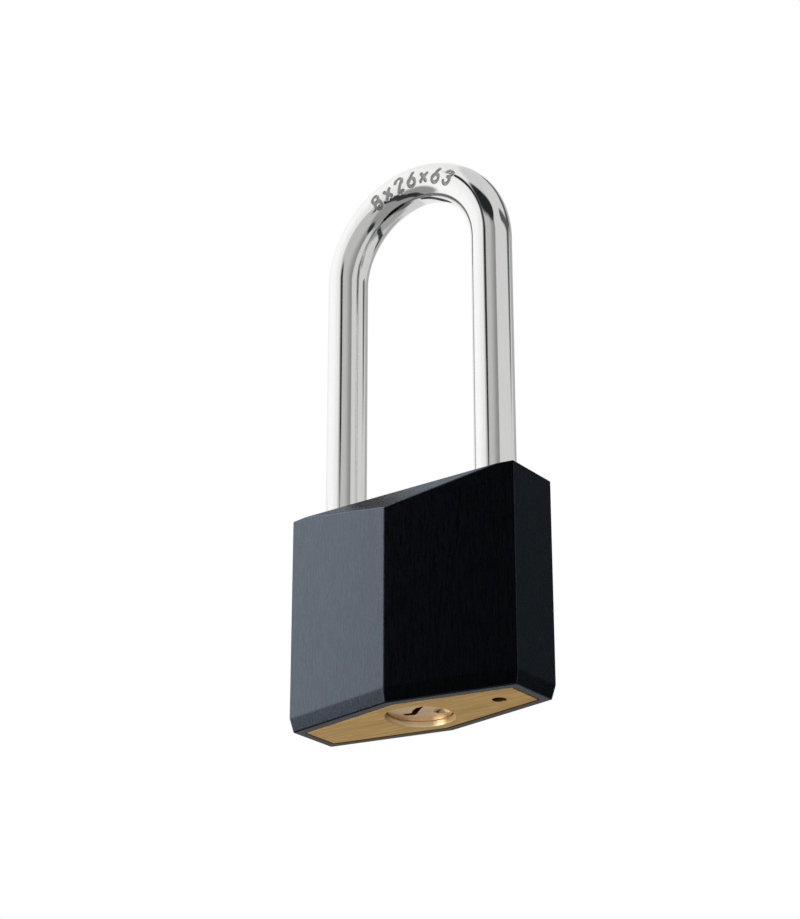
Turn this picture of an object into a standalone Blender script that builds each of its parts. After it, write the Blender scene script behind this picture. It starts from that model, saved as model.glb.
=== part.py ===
"""A padlock with a long shackle: brass pin-tumbler body in a moulded black cover.

Metres, +Z up along the shackle. The origin is the middle of the bottom face, where the key
goes in. X runs across the width and -Y is the front. The padlock is shut, with both locking
balls drawn back into the body.
"""

import math

import bmesh
import bpy
from mathutils import Matrix, Vector

# Moulded cover
COVER_WIDTH = 0.0500
COVER_DEPTH_MIDDLE = 0.0218
COVER_HEIGHT = 0.0414
COVER_WALL = 0.0022
COVER_ROOF = 0.0018
BOTTOM_CHAMFER_HEIGHT = 0.0027
BOTTOM_CHAMFER_INSET = 0.0006
TOP_FLAT_DEPTH = 0.0133
TOP_DROP_AT_CREASE = 0.0046

# Clearances
SEAT_GAP = 0.0003
RUNNING_GAP = 0.00025
PLUG_GAP = 0.0002

# Shackle
SHACKLE_DIAMETER = 0.0080
LEG_SPACING = 0.0340
CLEAR_HEIGHT = 0.0628
TOE_INSERTION = 0.0138
LIFT_PAST_TOE = 0.0007
LEG_BORE_WALL = 0.00075
TIP_CHAMFER = 0.0008
HEEL_COLLAR_HEIGHT = 0.0024
BOW_STEPS = 20
NECK_STEPS = 8

# Locking balls and the cam that throws them
BALL_DIAMETER = 0.0085
BALL_DEPTH_BELOW_TOP = 0.0084
BALL_BITE = 0.0017
HEEL_BALL_THROW = 0.0010
CAM_POINTS_PER_QUARTER = 8

# Cylinder plug
PLUG_RADIUS = 0.0059
PLUG_RECESS = 0.0010
PLUG_LENGTH = 0.0240
MOUTH_FLARE = 0.0002
MOUTH_DEPTH = 0.0009
TANG_HEIGHT = 0.0028
TANG_THICKNESS = 0.0030
TANG_SLOT_WALL = 0.0008
RETAINING_PIN_RADIUS = 0.0008
RETAINING_PIN_BELOW_PLUG_TOP = 0.0017
RETAINING_PIN_BITE = 0.0010

# Hollow drilled in the plug's face beside the keyway
HOLLOW_RADIUS = 0.0015
HOLLOW_DEPTH = 0.00055
HOLLOW_EDGE_WALL = 0.00050
HOLLOW_ANGLE = 30.0

# Pin stacks
PIN_RADIUS = 0.0014
PIN_COUNT = 5
FIRST_PIN_HEIGHT = 0.0050
PIN_PITCH = 0.0038
KEY_PIN_LENGTHS = (0.0036, 0.0044, 0.0032, 0.0048, 0.0040)
DRIVER_LENGTH = 0.0050
PIN_HOLE_FLOOR = 0.0003
PIN_SPRING_RADIUS = 0.0010
PIN_WIRE_RADIUS = 0.00018
PIN_SPRING_TURNS = 7
CHAMBER_PLUG_LENGTH = 0.0030

# Shackle spring
SPRING_CAP_THICKNESS = 0.0018
SPRING_RADIUS = 0.0030
SPRING_WIRE_RADIUS = 0.0004
SPRING_TURNS = 8
BASE_THICKNESS = 0.0030
DRAIN_HOLE_RADIUS = 0.00125

# Keyway outline, as a Z-shaped slot seen from below the plug
KEYWAY_OUTLINE = (
    (-0.00350, -0.00045),
    (-0.00170, -0.00015),
    (-0.00070, -0.00125),
    (0.00075, -0.00210),
    (0.00230, -0.00210),
    (0.00115, -0.00120),
    (-0.00030, -0.00005),
    (-0.00105, 0.00070),
    (-0.00200, 0.00120),
    (-0.00350, 0.00050),
)
KEYWAY_PAST_LAST_PIN = 0.0018

# Facets, and how far a cutter reaches past the face that it opens
ROUND_SIDES = 40
PIN_SIDES = 20
BALL_RINGS = 12
NOTCH_RINGS = 16
PIN_SPRING_POINTS = 8
SHACKLE_SPRING_POINTS = 12
CUT_PAST = 0.0010

# Worked-out places
half_width = COVER_WIDTH / 2
half_middle = COVER_DEPTH_MIDDLE / 2
leg_x = LEG_SPACING / 2
leg_radius = SHACKLE_DIAMETER / 2
leg_inner_face = leg_x - leg_radius
leg_bore_radius = leg_radius + RUNNING_GAP
ball_radius = BALL_DIAMETER / 2
ball_bore_radius = ball_radius + RUNNING_GAP
body_offset = COVER_WALL + SEAT_GAP
body_top = COVER_HEIGHT - COVER_ROOF - SEAT_GAP
plug_bore_radius = PLUG_RADIUS + PLUG_GAP
plug_top = PLUG_RECESS + PLUG_LENGTH
retaining_pin_height = plug_top - RETAINING_PIN_BELOW_PLUG_TOP
ball_height = COVER_HEIGHT - BALL_DEPTH_BELOW_TOP
thrown_ball_x = leg_inner_face + BALL_BITE - ball_radius
toe_ball_throw = BALL_BITE + SEAT_GAP
cam_radius = thrown_ball_x - ball_radius - SEAT_GAP
cam_bottom = plug_top + SEAT_GAP
cam_top = ball_height + ball_radius
tang_width = 2 * (cam_radius - toe_ball_throw - TANG_SLOT_WALL - SEAT_GAP)
toe_tip = COVER_HEIGHT - TOE_INSERTION
toe_bore_bottom = toe_tip - SEAT_GAP * 3
shackle_lift = TOE_INSERTION + LIFT_PAST_TOE
bow_centre_height = COVER_HEIGHT + CLEAR_HEIGHT - leg_inner_face
pin_bore_radius = PIN_RADIUS + RUNNING_GAP
heel_waist_radius = leg_radius - BALL_BITE + HEEL_BALL_THROW - SEAT_GAP
drawn_heel_ball_x = thrown_ball_x - HEEL_BALL_THROW
ball_bite_height = math.sqrt(ball_radius**2 - (leg_inner_face - drawn_heel_ball_x) ** 2)
collar_shoulder = ball_height - ball_bite_height - SEAT_GAP - shackle_lift
heel_tip = collar_shoulder - HEEL_COLLAR_HEIGHT
spring_cap_top = heel_tip - SEAT_GAP
spring_top = spring_cap_top - SPRING_CAP_THICKNESS - SEAT_GAP
spring_bottom = BASE_THICKNESS + SEAT_GAP


def side_slope():
    """How fast the slanting sides close in, so that the brass keeps its wall beside a leg bore.

    A side is the line y = half_middle - slope * x, and its distance from the leg's axis is
    (half_middle - slope * leg_x) / sqrt(1 + slope^2). The slope that gives the distance wanted
    is the root of a quadratic.
    """
    distance = leg_bore_radius + LEG_BORE_WALL + body_offset
    square = leg_x**2 - distance**2
    linear = -2 * half_middle * leg_x
    constant = half_middle**2 - distance**2
    return (-linear - math.sqrt(linear**2 - 4 * square * constant)) / (2 * square)


slope = side_slope()


def clear_scene():
    for old in list(bpy.data.objects):
        bpy.data.objects.remove(old, do_unlink=True)


clear_scene()
padlock = bpy.data.collections.new("padlock")
cutters = bpy.data.collections.new("padlock_cutters")
bpy.context.scene.collection.children.link(padlock)
bpy.context.scene.collection.children.link(cutters)


def finish(name, colour, metallic, roughness):
    """A Principled material."""
    material = bpy.data.materials.new(name)
    material.use_nodes = True
    shader = material.node_tree.nodes["Principled BSDF"]
    shader.inputs["Base Color"].default_value = (*colour, 1.0)
    shader.inputs["Metallic"].default_value = metallic
    shader.inputs["Roughness"].default_value = roughness
    return material


black_moulding = finish("black_moulding", (0.012, 0.013, 0.016), 0.0, 0.5)
body_brass = finish("body_brass", (0.62, 0.45, 0.20), 1.0, 0.35)
plug_brass = finish("plug_brass", (0.66, 0.46, 0.29), 1.0, 0.28)
shackle_steel = finish("shackle_steel", (0.72, 0.71, 0.69), 1.0, 0.12)
ball_steel = finish("ball_steel", (0.60, 0.60, 0.60), 1.0, 0.10)
spring_steel = finish("spring_steel", (0.55, 0.55, 0.56), 1.0, 0.30)
nickel_brass = finish("nickel_brass", (0.66, 0.63, 0.52), 1.0, 0.30)
cam_steel = finish("cam_steel", (0.48, 0.48, 0.50), 1.0, 0.42)


def add(name, mesh, material, smooth_angle=30.0):
    """A part in the padlock's collection."""
    part = bpy.data.objects.new(name, mesh)
    padlock.objects.link(part)
    mesh.materials.clear()
    mesh.materials.append(material)
    mesh.shade_smooth()
    mesh.set_sharp_from_angle(angle=math.radians(smooth_angle))
    return part


def add_cutter(name, mesh):
    """A cutter, which is never drawn."""
    cutter = bpy.data.objects.new(name, mesh)
    cutters.objects.link(cutter)
    cutter.hide_render = True
    cutter.display_type = "WIRE"
    return cutter


def cut(part, cutter):
    modifier = part.modifiers.new("cut " + cutter.name, "BOOLEAN")
    modifier.operation = "DIFFERENCE"
    modifier.solver = "EXACT"
    modifier.object = cutter


def placed(mesh, location, rotation=(0.0, 0.0, 0.0)):
    """The mesh turned by Euler angles and moved to its place."""
    turn = Matrix.Identity(4)
    for axis, angle in zip("XYZ", rotation):
        turn = Matrix.Rotation(angle, 4, axis) @ turn
    mesh.transform(Matrix.Translation(location) @ turn)
    return mesh


def cylinder_mesh(name, radius, length, sides=ROUND_SIDES, top_radius=None):
    """A cylinder or cone about Z, standing on z = 0."""
    shape = bmesh.new()
    bmesh.ops.create_cone(
        shape,
        cap_ends=True,
        segments=sides,
        radius1=radius,
        radius2=radius if top_radius is None else top_radius,
        depth=length,
    )
    bmesh.ops.translate(shape, verts=shape.verts, vec=(0.0, 0.0, length / 2))
    mesh = bpy.data.meshes.new(name)
    shape.to_mesh(mesh)
    shape.free()
    return mesh


def box_mesh(name, size):
    """A box about the origin."""
    shape = bmesh.new()
    bmesh.ops.create_cube(shape, size=1.0)
    bmesh.ops.scale(shape, verts=shape.verts, vec=size)
    mesh = bpy.data.meshes.new(name)
    shape.to_mesh(mesh)
    shape.free()
    return mesh


def sphere_mesh(name, radius, rings):
    """A ball about the origin, twice as many sides round as rings."""
    shape = bmesh.new()
    bmesh.ops.create_uvsphere(shape, u_segments=2 * rings, v_segments=rings, radius=radius)
    mesh = bpy.data.meshes.new(name)
    shape.to_mesh(mesh)
    shape.free()
    return mesh


def hexagon(offset):
    """The cover's outline, with every side moved in by offset; ends first, then the creases."""
    middle = half_middle - offset * math.hypot(1.0, slope)
    end_x = half_width - offset
    end_y = middle - slope * end_x
    return [
        Vector((-end_x, -end_y)),
        Vector((0.0, -middle)),
        Vector((end_x, -end_y)),
        Vector((end_x, end_y)),
        Vector((0.0, middle)),
        Vector((-end_x, end_y)),
    ]


def hexagonal_block(name, sections):
    """A six-sided block: its outline is extruded from one (height, offset) to the next."""
    shape = bmesh.new()
    height, offset = sections[0]
    ring = [shape.verts.new((*corner, height)) for corner in hexagon(offset)]
    shape.faces.new(ring)
    edges = shape.edges[:]
    for height, offset in sections[1:]:
        extruded = bmesh.ops.extrude_edge_only(shape, edges=edges)["geom"]
        edges = [item for item in extruded if isinstance(item, bmesh.types.BMEdge)]
        ring = [item for item in extruded if isinstance(item, bmesh.types.BMVert)]
        corners = hexagon(offset)
        for vertex in ring:
            nearest = min(corners, key=lambda corner: (corner - vertex.co.xy).length)
            vertex.co = (*nearest, height)
    bmesh.ops.contextual_create(shape, geom=edges)
    bmesh.ops.recalc_face_normals(shape, faces=shape.faces)
    mesh = bpy.data.meshes.new(name)
    shape.to_mesh(mesh)
    shape.free()
    return mesh


def slope_top(mesh, lowered):
    """Slices a sloping plane off the top at the front and at the back, lowered by an amount.

    Each plane holds the end of that side's crease and the straight edge of the flat top.
    """
    flat_y = TOP_FLAT_DEPTH / 2
    corner_x = (half_middle - flat_y) / slope
    for front_back in (-1, 1):
        crease = Vector((0.0, front_back * half_middle, COVER_HEIGHT - TOP_DROP_AT_CREASE))
        left = Vector((-corner_x, front_back * flat_y, COVER_HEIGHT))
        right = Vector((corner_x, front_back * flat_y, COVER_HEIGHT))
        normal = (right - left).cross(crease - left).normalized()
        if normal.z < 0:
            normal.negate()
        shape = bmesh.new()
        shape.from_mesh(mesh)
        bmesh.ops.bisect_plane(
            shape,
            geom=shape.verts[:] + shape.edges[:] + shape.faces[:],
            plane_co=crease - normal * lowered,
            plane_no=normal,
            clear_outer=True,
        )
        open_edges = [edge for edge in shape.edges if edge.is_boundary]
        bmesh.ops.holes_fill(shape, edges=open_edges)
        bmesh.ops.recalc_face_normals(shape, faces=shape.faces)
        shape.to_mesh(mesh)
        shape.free()
    return mesh


def turned(name, profile, material, location, sides=ROUND_SIDES, collection=None):
    """A turned piece: a profile of (radius, height) points, top to bottom, with a Screw."""
    mesh = bpy.data.meshes.new(name)
    points = [(radius, 0.0, height) for radius, height in profile]
    mesh.from_pydata(points, [(i, i + 1) for i in range(len(points) - 1)], [])
    part = bpy.data.objects.new(name, mesh)
    (collection or padlock).objects.link(part)
    part.location = location
    screw = part.modifiers.new("turn", "SCREW")
    screw.axis = "Z"
    screw.steps = sides
    screw.render_steps = sides
    screw.use_merge_vertices = True
    screw.merge_threshold = 0.00001
    screw.use_smooth_shade = False
    if material:
        mesh.materials.append(material)
    return part


def as_mesh(source):
    """A plain mesh of an object as it is evaluated, in world space; the object is removed."""
    bpy.context.view_layer.update()
    evaluated = source.evaluated_get(bpy.context.evaluated_depsgraph_get())
    mesh = bpy.data.meshes.new_from_object(evaluated)
    mesh.transform(source.matrix_world)
    shape = bmesh.new()
    shape.from_mesh(mesh)
    bmesh.ops.remove_doubles(shape, verts=shape.verts, dist=0.000002)
    bmesh.ops.recalc_face_normals(shape, faces=shape.faces)
    shape.to_mesh(mesh)
    shape.free()
    name = source.name
    bpy.data.objects.remove(source, do_unlink=True)
    mesh.name = name
    return mesh


def wire(name, points, radius, material, location, rotation=(0.0, 0.0, 0.0)):
    """A round wire or bar through the points, as a poly curve with filled caps."""
    curve = bpy.data.curves.new(name, "CURVE")
    curve.dimensions = "3D"
    curve.bevel_depth = radius
    curve.bevel_resolution = 2
    curve.use_fill_caps = True
    spline = curve.splines.new("POLY")
    spline.points.add(len(points) - 1)
    for point, place in zip(spline.points, points):
        point.co = (*place, 1.0)
    part = bpy.data.objects.new(name, curve)
    padlock.objects.link(part)
    part.location = location
    part.rotation_euler = rotation
    curve.materials.append(material)
    return part


def helix(radius, length, turns, points_per_turn):
    """Points of a coil that starts at z = 0 and ends at z = length."""
    count = turns * points_per_turn
    return [
        (
            radius * math.cos(math.tau * i / points_per_turn),
            radius * math.sin(math.tau * i / points_per_turn),
            length * i / count,
        )
        for i in range(count + 1)
    ]


# Moulded cover: a six-sided shell, open at the bottom, with two holes for the shackle
cover_mesh = hexagonal_block(
    "body_cover",
    [
        (0.0, BOTTOM_CHAMFER_INSET),
        (BOTTOM_CHAMFER_HEIGHT, 0.0),
        (COVER_HEIGHT, 0.0),
    ],
)
body_cover = add("body_cover", slope_top(cover_mesh, 0.0), black_moulding, 20.0)
hollow_mesh = hexagonal_block(
    "cover_hollow", [(-CUT_PAST, COVER_WALL), (COVER_HEIGHT - COVER_ROOF, COVER_WALL)]
)
cut(body_cover, add_cutter("cover_hollow", slope_top(hollow_mesh, COVER_ROOF)))
for side, end_name in ((-1, "toe"), (1, "heel")):
    hole_length = COVER_ROOF + 2 * CUT_PAST
    hole = cylinder_mesh(f"cover_{end_name}_hole", leg_bore_radius + RUNNING_GAP, hole_length)
    placed(hole, (side * leg_x, 0.0, COVER_HEIGHT - COVER_ROOF - CUT_PAST))
    cut(body_cover, add_cutter(hole.name, hole))

# Brass body, bored for the plug, the shackle's legs, the balls and the pin stacks
body_mesh = hexagonal_block("lock_body", [(0.0, body_offset), (body_top, body_offset)])
lock_body = add("lock_body", slope_top(body_mesh, COVER_ROOF + SEAT_GAP), body_brass)

plug_bore = turned(
    "plug_bore",
    [
        (0.0, cam_top + SEAT_GAP),
        (cam_radius + PLUG_GAP, cam_top + SEAT_GAP),
        (cam_radius + PLUG_GAP, plug_top),
        (plug_bore_radius, plug_top),
        (plug_bore_radius, MOUTH_DEPTH),
        (plug_bore_radius + MOUTH_FLARE, 0.0),
        (plug_bore_radius + MOUTH_FLARE, -CUT_PAST),
        (0.0, -CUT_PAST),
    ],
    None,
    (0.0, 0.0, 0.0),
    collection=cutters,
)
cut(lock_body, add_cutter("plug_bore_cutter", as_mesh(plug_bore)))

toe_bore = cylinder_mesh("toe_bore", leg_bore_radius, COVER_HEIGHT - toe_bore_bottom)
cut(lock_body, add_cutter("toe_bore", placed(toe_bore, (-leg_x, 0.0, toe_bore_bottom))))
heel_bore = cylinder_mesh("heel_bore", leg_bore_radius, COVER_HEIGHT - BASE_THICKNESS)
cut(lock_body, add_cutter("heel_bore", placed(heel_bore, (leg_x, 0.0, BASE_THICKNESS))))
drain = cylinder_mesh("drain_hole", DRAIN_HOLE_RADIUS, BASE_THICKNESS + 2 * CUT_PAST, PIN_SIDES)
cut(lock_body, add_cutter("drain_hole", placed(drain, (leg_x, 0.0, -CUT_PAST))))
ball_bore = cylinder_mesh("ball_bore", ball_bore_radius, LEG_SPACING)
placed(ball_bore, (-leg_x, 0.0, ball_height), (0.0, math.pi / 2, 0.0))
cut(lock_body, add_cutter("ball_bore", ball_bore))

# Plug retaining pin: pressed through the body beside the plug, in a groove turned in the plug
groove_floor = PLUG_RADIUS - RETAINING_PIN_BITE
retaining_pin_x = groove_floor + SEAT_GAP + RETAINING_PIN_RADIUS
retaining_bore_radius = RETAINING_PIN_RADIUS + SEAT_GAP
retaining_bore = cylinder_mesh("retaining_bore", retaining_bore_radius, COVER_DEPTH_MIDDLE, PIN_SIDES)
placed(
    retaining_bore,
    (retaining_pin_x, COVER_DEPTH_MIDDLE / 2, retaining_pin_height),
    (math.pi / 2, 0.0, 0.0),
)
cut(lock_body, add_cutter("retaining_bore", retaining_bore))
retaining_pin_reach = hexagon(body_offset)[4].y - slope * (retaining_pin_x + RETAINING_PIN_RADIUS)
retaining_pin_length = 2 * (retaining_pin_reach - SEAT_GAP)
retaining_pin_mesh = cylinder_mesh(
    "plug_retaining_pin", RETAINING_PIN_RADIUS, retaining_pin_length, PIN_SIDES
)
plug_retaining_pin = add("plug_retaining_pin", retaining_pin_mesh, spring_steel)
plug_retaining_pin.location = (retaining_pin_x, retaining_pin_length / 2, retaining_pin_height)
plug_retaining_pin.rotation_euler = (math.pi / 2, 0.0, 0.0)

# Pin chambers: one row drilled in from the narrow side under the toe, through the body and plug
body_side_x = half_width - body_offset
pin_heights = [FIRST_PIN_HEIGHT + PIN_PITCH * number for number in range(PIN_COUNT)]
for number, height in enumerate(pin_heights, 1):
    chamber = cylinder_mesh(f"chamber_{number}", pin_bore_radius, half_width, PIN_SIDES)
    placed(chamber, (-half_width, 0.0, height), (0.0, math.pi / 2, 0.0))
    cut(lock_body, add_cutter(chamber.name, chamber))

# Plug: a turned brass cylinder with a groove, a keyway, five pin holes and a tang
groove_half = retaining_bore_radius
plug = turned(
    "plug_blank",
    [
        (0.0, plug_top),
        (PLUG_RADIUS, plug_top),
        (PLUG_RADIUS, retaining_pin_height + groove_half),
        (groove_floor, retaining_pin_height + groove_half),
        (groove_floor, retaining_pin_height - groove_half),
        (PLUG_RADIUS, retaining_pin_height - groove_half),
        (PLUG_RADIUS, PLUG_RECESS),
        (0.0, PLUG_RECESS),
    ],
    plug_brass,
    (0.0, 0.0, 0.0),
)
plug = add("plug", as_mesh(plug), plug_brass)
tang = box_mesh("plug_tang", (tang_width, TANG_THICKNESS, TANG_HEIGHT + CUT_PAST))
placed(tang, (0.0, 0.0, plug_top + (TANG_HEIGHT - CUT_PAST) / 2))
tang_union = plug.modifiers.new("tang", "BOOLEAN")
tang_union.operation = "UNION"
tang_union.solver = "EXACT"
tang_union.object = add_cutter("plug_tang", tang)


def extruded_outline(name, outline, bottom, top):
    """A flat closed outline made solid between two heights."""
    curve = bpy.data.curves.new(name, "CURVE")
    curve.dimensions = "2D"
    curve.fill_mode = "BOTH"
    curve.extrude = (top - bottom) / 2
    spline = curve.splines.new("POLY")
    spline.points.add(len(outline) - 1)
    for point, place in zip(spline.points, outline):
        point.co = (place[0], place[1], 0.0, 1.0)
    spline.use_cyclic_u = True
    holder = bpy.data.objects.new(name, curve)
    cutters.objects.link(holder)
    holder.location.z = (top + bottom) / 2
    return as_mesh(holder)


keyway_end = pin_heights[-1] + KEYWAY_PAST_LAST_PIN
keyway = extruded_outline("keyway", KEYWAY_OUTLINE, PLUG_RECESS - CUT_PAST, keyway_end)
cut(plug, add_cutter("keyway", keyway))
hollow_sphere_radius = (HOLLOW_RADIUS**2 + HOLLOW_DEPTH**2) / (2 * HOLLOW_DEPTH)
hollow_from_axis = PLUG_RADIUS - HOLLOW_EDGE_WALL - HOLLOW_RADIUS
face_hollow = sphere_mesh("face_hollow", hollow_sphere_radius, BALL_RINGS)
placed(
    face_hollow,
    (
        hollow_from_axis * math.cos(math.radians(HOLLOW_ANGLE)),
        hollow_from_axis * math.sin(math.radians(HOLLOW_ANGLE)),
        PLUG_RECESS + HOLLOW_DEPTH - hollow_sphere_radius,
    ),
)
cut(plug, add_cutter("face_hollow", face_hollow))
for number, height in enumerate(pin_heights, 1):
    hole_length = half_width + PIN_HOLE_FLOOR
    pin_hole = cylinder_mesh(f"pin_hole_{number}", pin_bore_radius, hole_length, PIN_SIDES)
    placed(pin_hole, (-half_width, 0.0, height), (0.0, math.pi / 2, 0.0))
    cut(plug, add_cutter(pin_hole.name, pin_hole))


# Cam on the plug's tang: its outline rises evenly with angle, so the balls move evenly
def cam_radius_at(quarter):
    """Radius at a quarter turn: heel side, lobe, toe side, lobe."""
    return (
        cam_radius - HEEL_BALL_THROW,
        cam_radius,
        cam_radius - toe_ball_throw,
        cam_radius,
    )[quarter % 4]


cam_outline = []
for step in range(4 * CAM_POINTS_PER_QUARTER):
    quarter, part_way = divmod(step, CAM_POINTS_PER_QUARTER)
    share = part_way / CAM_POINTS_PER_QUARTER
    radius = cam_radius_at(quarter) * (1 - share) + cam_radius_at(quarter + 1) * share
    angle = math.tau * step / (4 * CAM_POINTS_PER_QUARTER)
    cam_outline.append((radius * math.cos(angle), radius * math.sin(angle)))
cam_mesh = extruded_outline("ball_cam", cam_outline, cam_bottom, cam_top)
ball_cam = add("ball_cam", cam_mesh, cam_steel)
slot_size = (tang_width + 2 * SEAT_GAP, TANG_THICKNESS + 2 * SEAT_GAP, 2 * (TANG_HEIGHT + SEAT_GAP))
tang_slot = placed(box_mesh("tang_slot", slot_size), (0.0, 0.0, plug_top))
cut(ball_cam, add_cutter("tang_slot", tang_slot))


# Pin stacks: key pin, driver, spring and chamber plug, from the keyway outwards
PIN_CONE = 0.6
PIN_TIP_FLAT = 0.35
PIN_CHAMFER = 0.2
BOBBIN_END = 0.28
BOBBIN_WAIST = 0.75
BOBBIN_TAPER = 0.3


def coned_pin_profile(length, radius):
    """A pin with a coned tip at the bottom and a chamfered top, as (radius, height) points."""
    cone = radius * PIN_CONE
    chamfer = radius * PIN_CHAMFER
    return [
        (0.0, length),
        (radius - chamfer, length),
        (radius, length - chamfer),
        (radius, cone),
        (radius * PIN_TIP_FLAT, 0.0),
        (0.0, 0.0),
    ]


def bobbin_profile(length, radius):
    """A driver with a waist between two full-width ends."""
    end = length * BOBBIN_END
    waist = radius * BOBBIN_WAIST
    taper = radius * BOBBIN_TAPER
    return [
        (0.0, length),
        (radius, length),
        (radius, length - end),
        (waist, length - end - taper),
        (waist, end + taper),
        (radius, end),
        (radius, 0.0),
        (0.0, 0.0),
    ]


key_pin_outer_x = -PLUG_RADIUS + PLUG_GAP / 2
driver_inner_x = -PLUG_RADIUS - PLUG_GAP
driver_outer_x = driver_inner_x - DRIVER_LENGTH
chamber_plug_outer_x = -body_side_x + SEAT_GAP
chamber_plug_inner_x = chamber_plug_outer_x + CHAMBER_PLUG_LENGTH
outward = (0.0, -math.pi / 2, 0.0)
for number, (height, length) in enumerate(zip(pin_heights, KEY_PIN_LENGTHS), 1):
    key_pin = turned(
        f"key_pin_{number}",
        coned_pin_profile(length, PIN_RADIUS),
        nickel_brass,
        (key_pin_outer_x + length, 0.0, height),
        PIN_SIDES,
    )
    key_pin.rotation_euler = outward
    driver = turned(
        f"driver_pin_{number}",
        bobbin_profile(DRIVER_LENGTH, PIN_RADIUS),
        nickel_brass,
        (driver_inner_x, 0.0, height),
        PIN_SIDES,
    )
    driver.rotation_euler = outward
    spring_start = driver_outer_x - SEAT_GAP - PIN_WIRE_RADIUS
    spring_end = chamber_plug_inner_x + SEAT_GAP + PIN_WIRE_RADIUS
    wire(
        f"pin_spring_{number}",
        helix(PIN_SPRING_RADIUS, spring_start - spring_end, PIN_SPRING_TURNS, PIN_SPRING_POINTS),
        PIN_WIRE_RADIUS,
        spring_steel,
        (spring_start, 0.0, height),
        outward,
    )
    plug_mesh = cylinder_mesh(f"chamber_plug_{number}", PIN_RADIUS, CHAMBER_PLUG_LENGTH, PIN_SIDES)
    chamber_plug = add(f"chamber_plug_{number}", plug_mesh, body_brass)
    chamber_plug.location = (chamber_plug_inner_x, 0.0, height)
    chamber_plug.rotation_euler = outward

# Locking balls, drawn back against the cam


def ball(name, centre_x):
    """A ball on the line across the body at the balls' height."""
    part = add(name, sphere_mesh(name, ball_radius, BALL_RINGS), ball_steel, 60.0)
    part.location = (centre_x, 0.0, ball_height)
    return part


ball("toe_ball", toe_ball_throw - thrown_ball_x)
ball("heel_ball", drawn_heel_ball_x)

# Shackle: a bent round bar, notched at the toe, waisted at the heel
bow = []
bow.append((-leg_x, 0.0, toe_tip))
bow.append((-leg_x, 0.0, toe_tip + TIP_CHAMFER))
for step in range(BOW_STEPS + 1):
    angle = math.pi * step / BOW_STEPS
    bow.append((-leg_x * math.cos(angle), 0.0, bow_centre_height + leg_x * math.sin(angle)))
bow.append((leg_x, 0.0, heel_tip + TIP_CHAMFER))
bow.append((leg_x, 0.0, heel_tip))
bar = wire("shackle_bar", bow, leg_radius, shackle_steel, (0.0, 0.0, 0.0))
bar.data.bevel_resolution = 7
bar.data.splines[0].points[0].radius = 1.0 - TIP_CHAMFER / leg_radius
bar.data.splines[0].points[-1].radius = 1.0 - TIP_CHAMFER / leg_radius
shackle_mesh = as_mesh(bar)
heel_pivot = Vector((leg_x, 0.0, heel_tip))
shackle_mesh.transform(Matrix.Translation(-heel_pivot))
shackle = add("shackle", shackle_mesh, shackle_steel, 35.0)
shackle.location = heel_pivot

notch_radius = ball_radius + SEAT_GAP
toe_notch = sphere_mesh("toe_notch", notch_radius, NOTCH_RINGS)
cut(shackle, add_cutter("toe_notch", placed(toe_notch, (-thrown_ball_x, 0.0, ball_height))))

# The heel is turned down between its ball groove and its end collar
over = leg_radius + CUT_PAST
groove_reach = math.acos((leg_x - heel_waist_radius - thrown_ball_x) / notch_radius)
full_reach = math.acos((leg_inner_face - thrown_ball_x) / notch_radius)
ring = [(over, ball_height + notch_radius * math.sin(full_reach))]
for step in range(NECK_STEPS + 1):
    angle = full_reach - (full_reach + groove_reach) * step / NECK_STEPS
    ring.append(
        (
            leg_x - thrown_ball_x - notch_radius * math.cos(angle),
            ball_height + notch_radius * math.sin(angle),
        )
    )
ring.append((heel_waist_radius, collar_shoulder))
ring.append((over, collar_shoulder))
waist_mesh = bpy.data.meshes.new("heel_waist")
waist_points = [(radius, 0.0, height) for radius, height in reversed(ring)]
waist_edges = [(i, (i + 1) % len(waist_points)) for i in range(len(waist_points))]
waist_mesh.from_pydata(waist_points, waist_edges, [])
waist = bpy.data.objects.new("heel_waist_ring", waist_mesh)
cutters.objects.link(waist)
waist.location = (leg_x, 0.0, 0.0)
waist_screw = waist.modifiers.new("turn", "SCREW")
waist_screw.steps = ROUND_SIDES
waist_screw.render_steps = ROUND_SIDES
waist_screw.use_merge_vertices = True
waist_screw.merge_threshold = 0.00001
waist_solid = as_mesh(waist)
cut(shackle, add_cutter("heel_waist", waist_solid))

# Shackle spring and its cap, under the heel
cap_radius = leg_radius - SEAT_GAP
cap_mesh = cylinder_mesh("shackle_spring_cap", cap_radius, SPRING_CAP_THICKNESS)
shackle_spring_cap = add("shackle_spring_cap", cap_mesh, nickel_brass)
shackle_spring_cap.location = (leg_x, 0.0, spring_cap_top - SPRING_CAP_THICKNESS)
wire(
    "shackle_spring",
    helix(
        SPRING_RADIUS,
        spring_top - spring_bottom - 2 * SPRING_WIRE_RADIUS,
        SPRING_TURNS,
        SHACKLE_SPRING_POINTS,
    ),
    SPRING_WIRE_RADIUS,
    spring_steel,
    (leg_x, 0.0, spring_bottom + SPRING_WIRE_RADIUS),
)
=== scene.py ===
"""A long-shackle padlock: a brass body in a moulded black cover, with a polished steel shackle.

Metres, +Z up along the shackle, -Y the front, shut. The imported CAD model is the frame.
"""

import math

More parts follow.
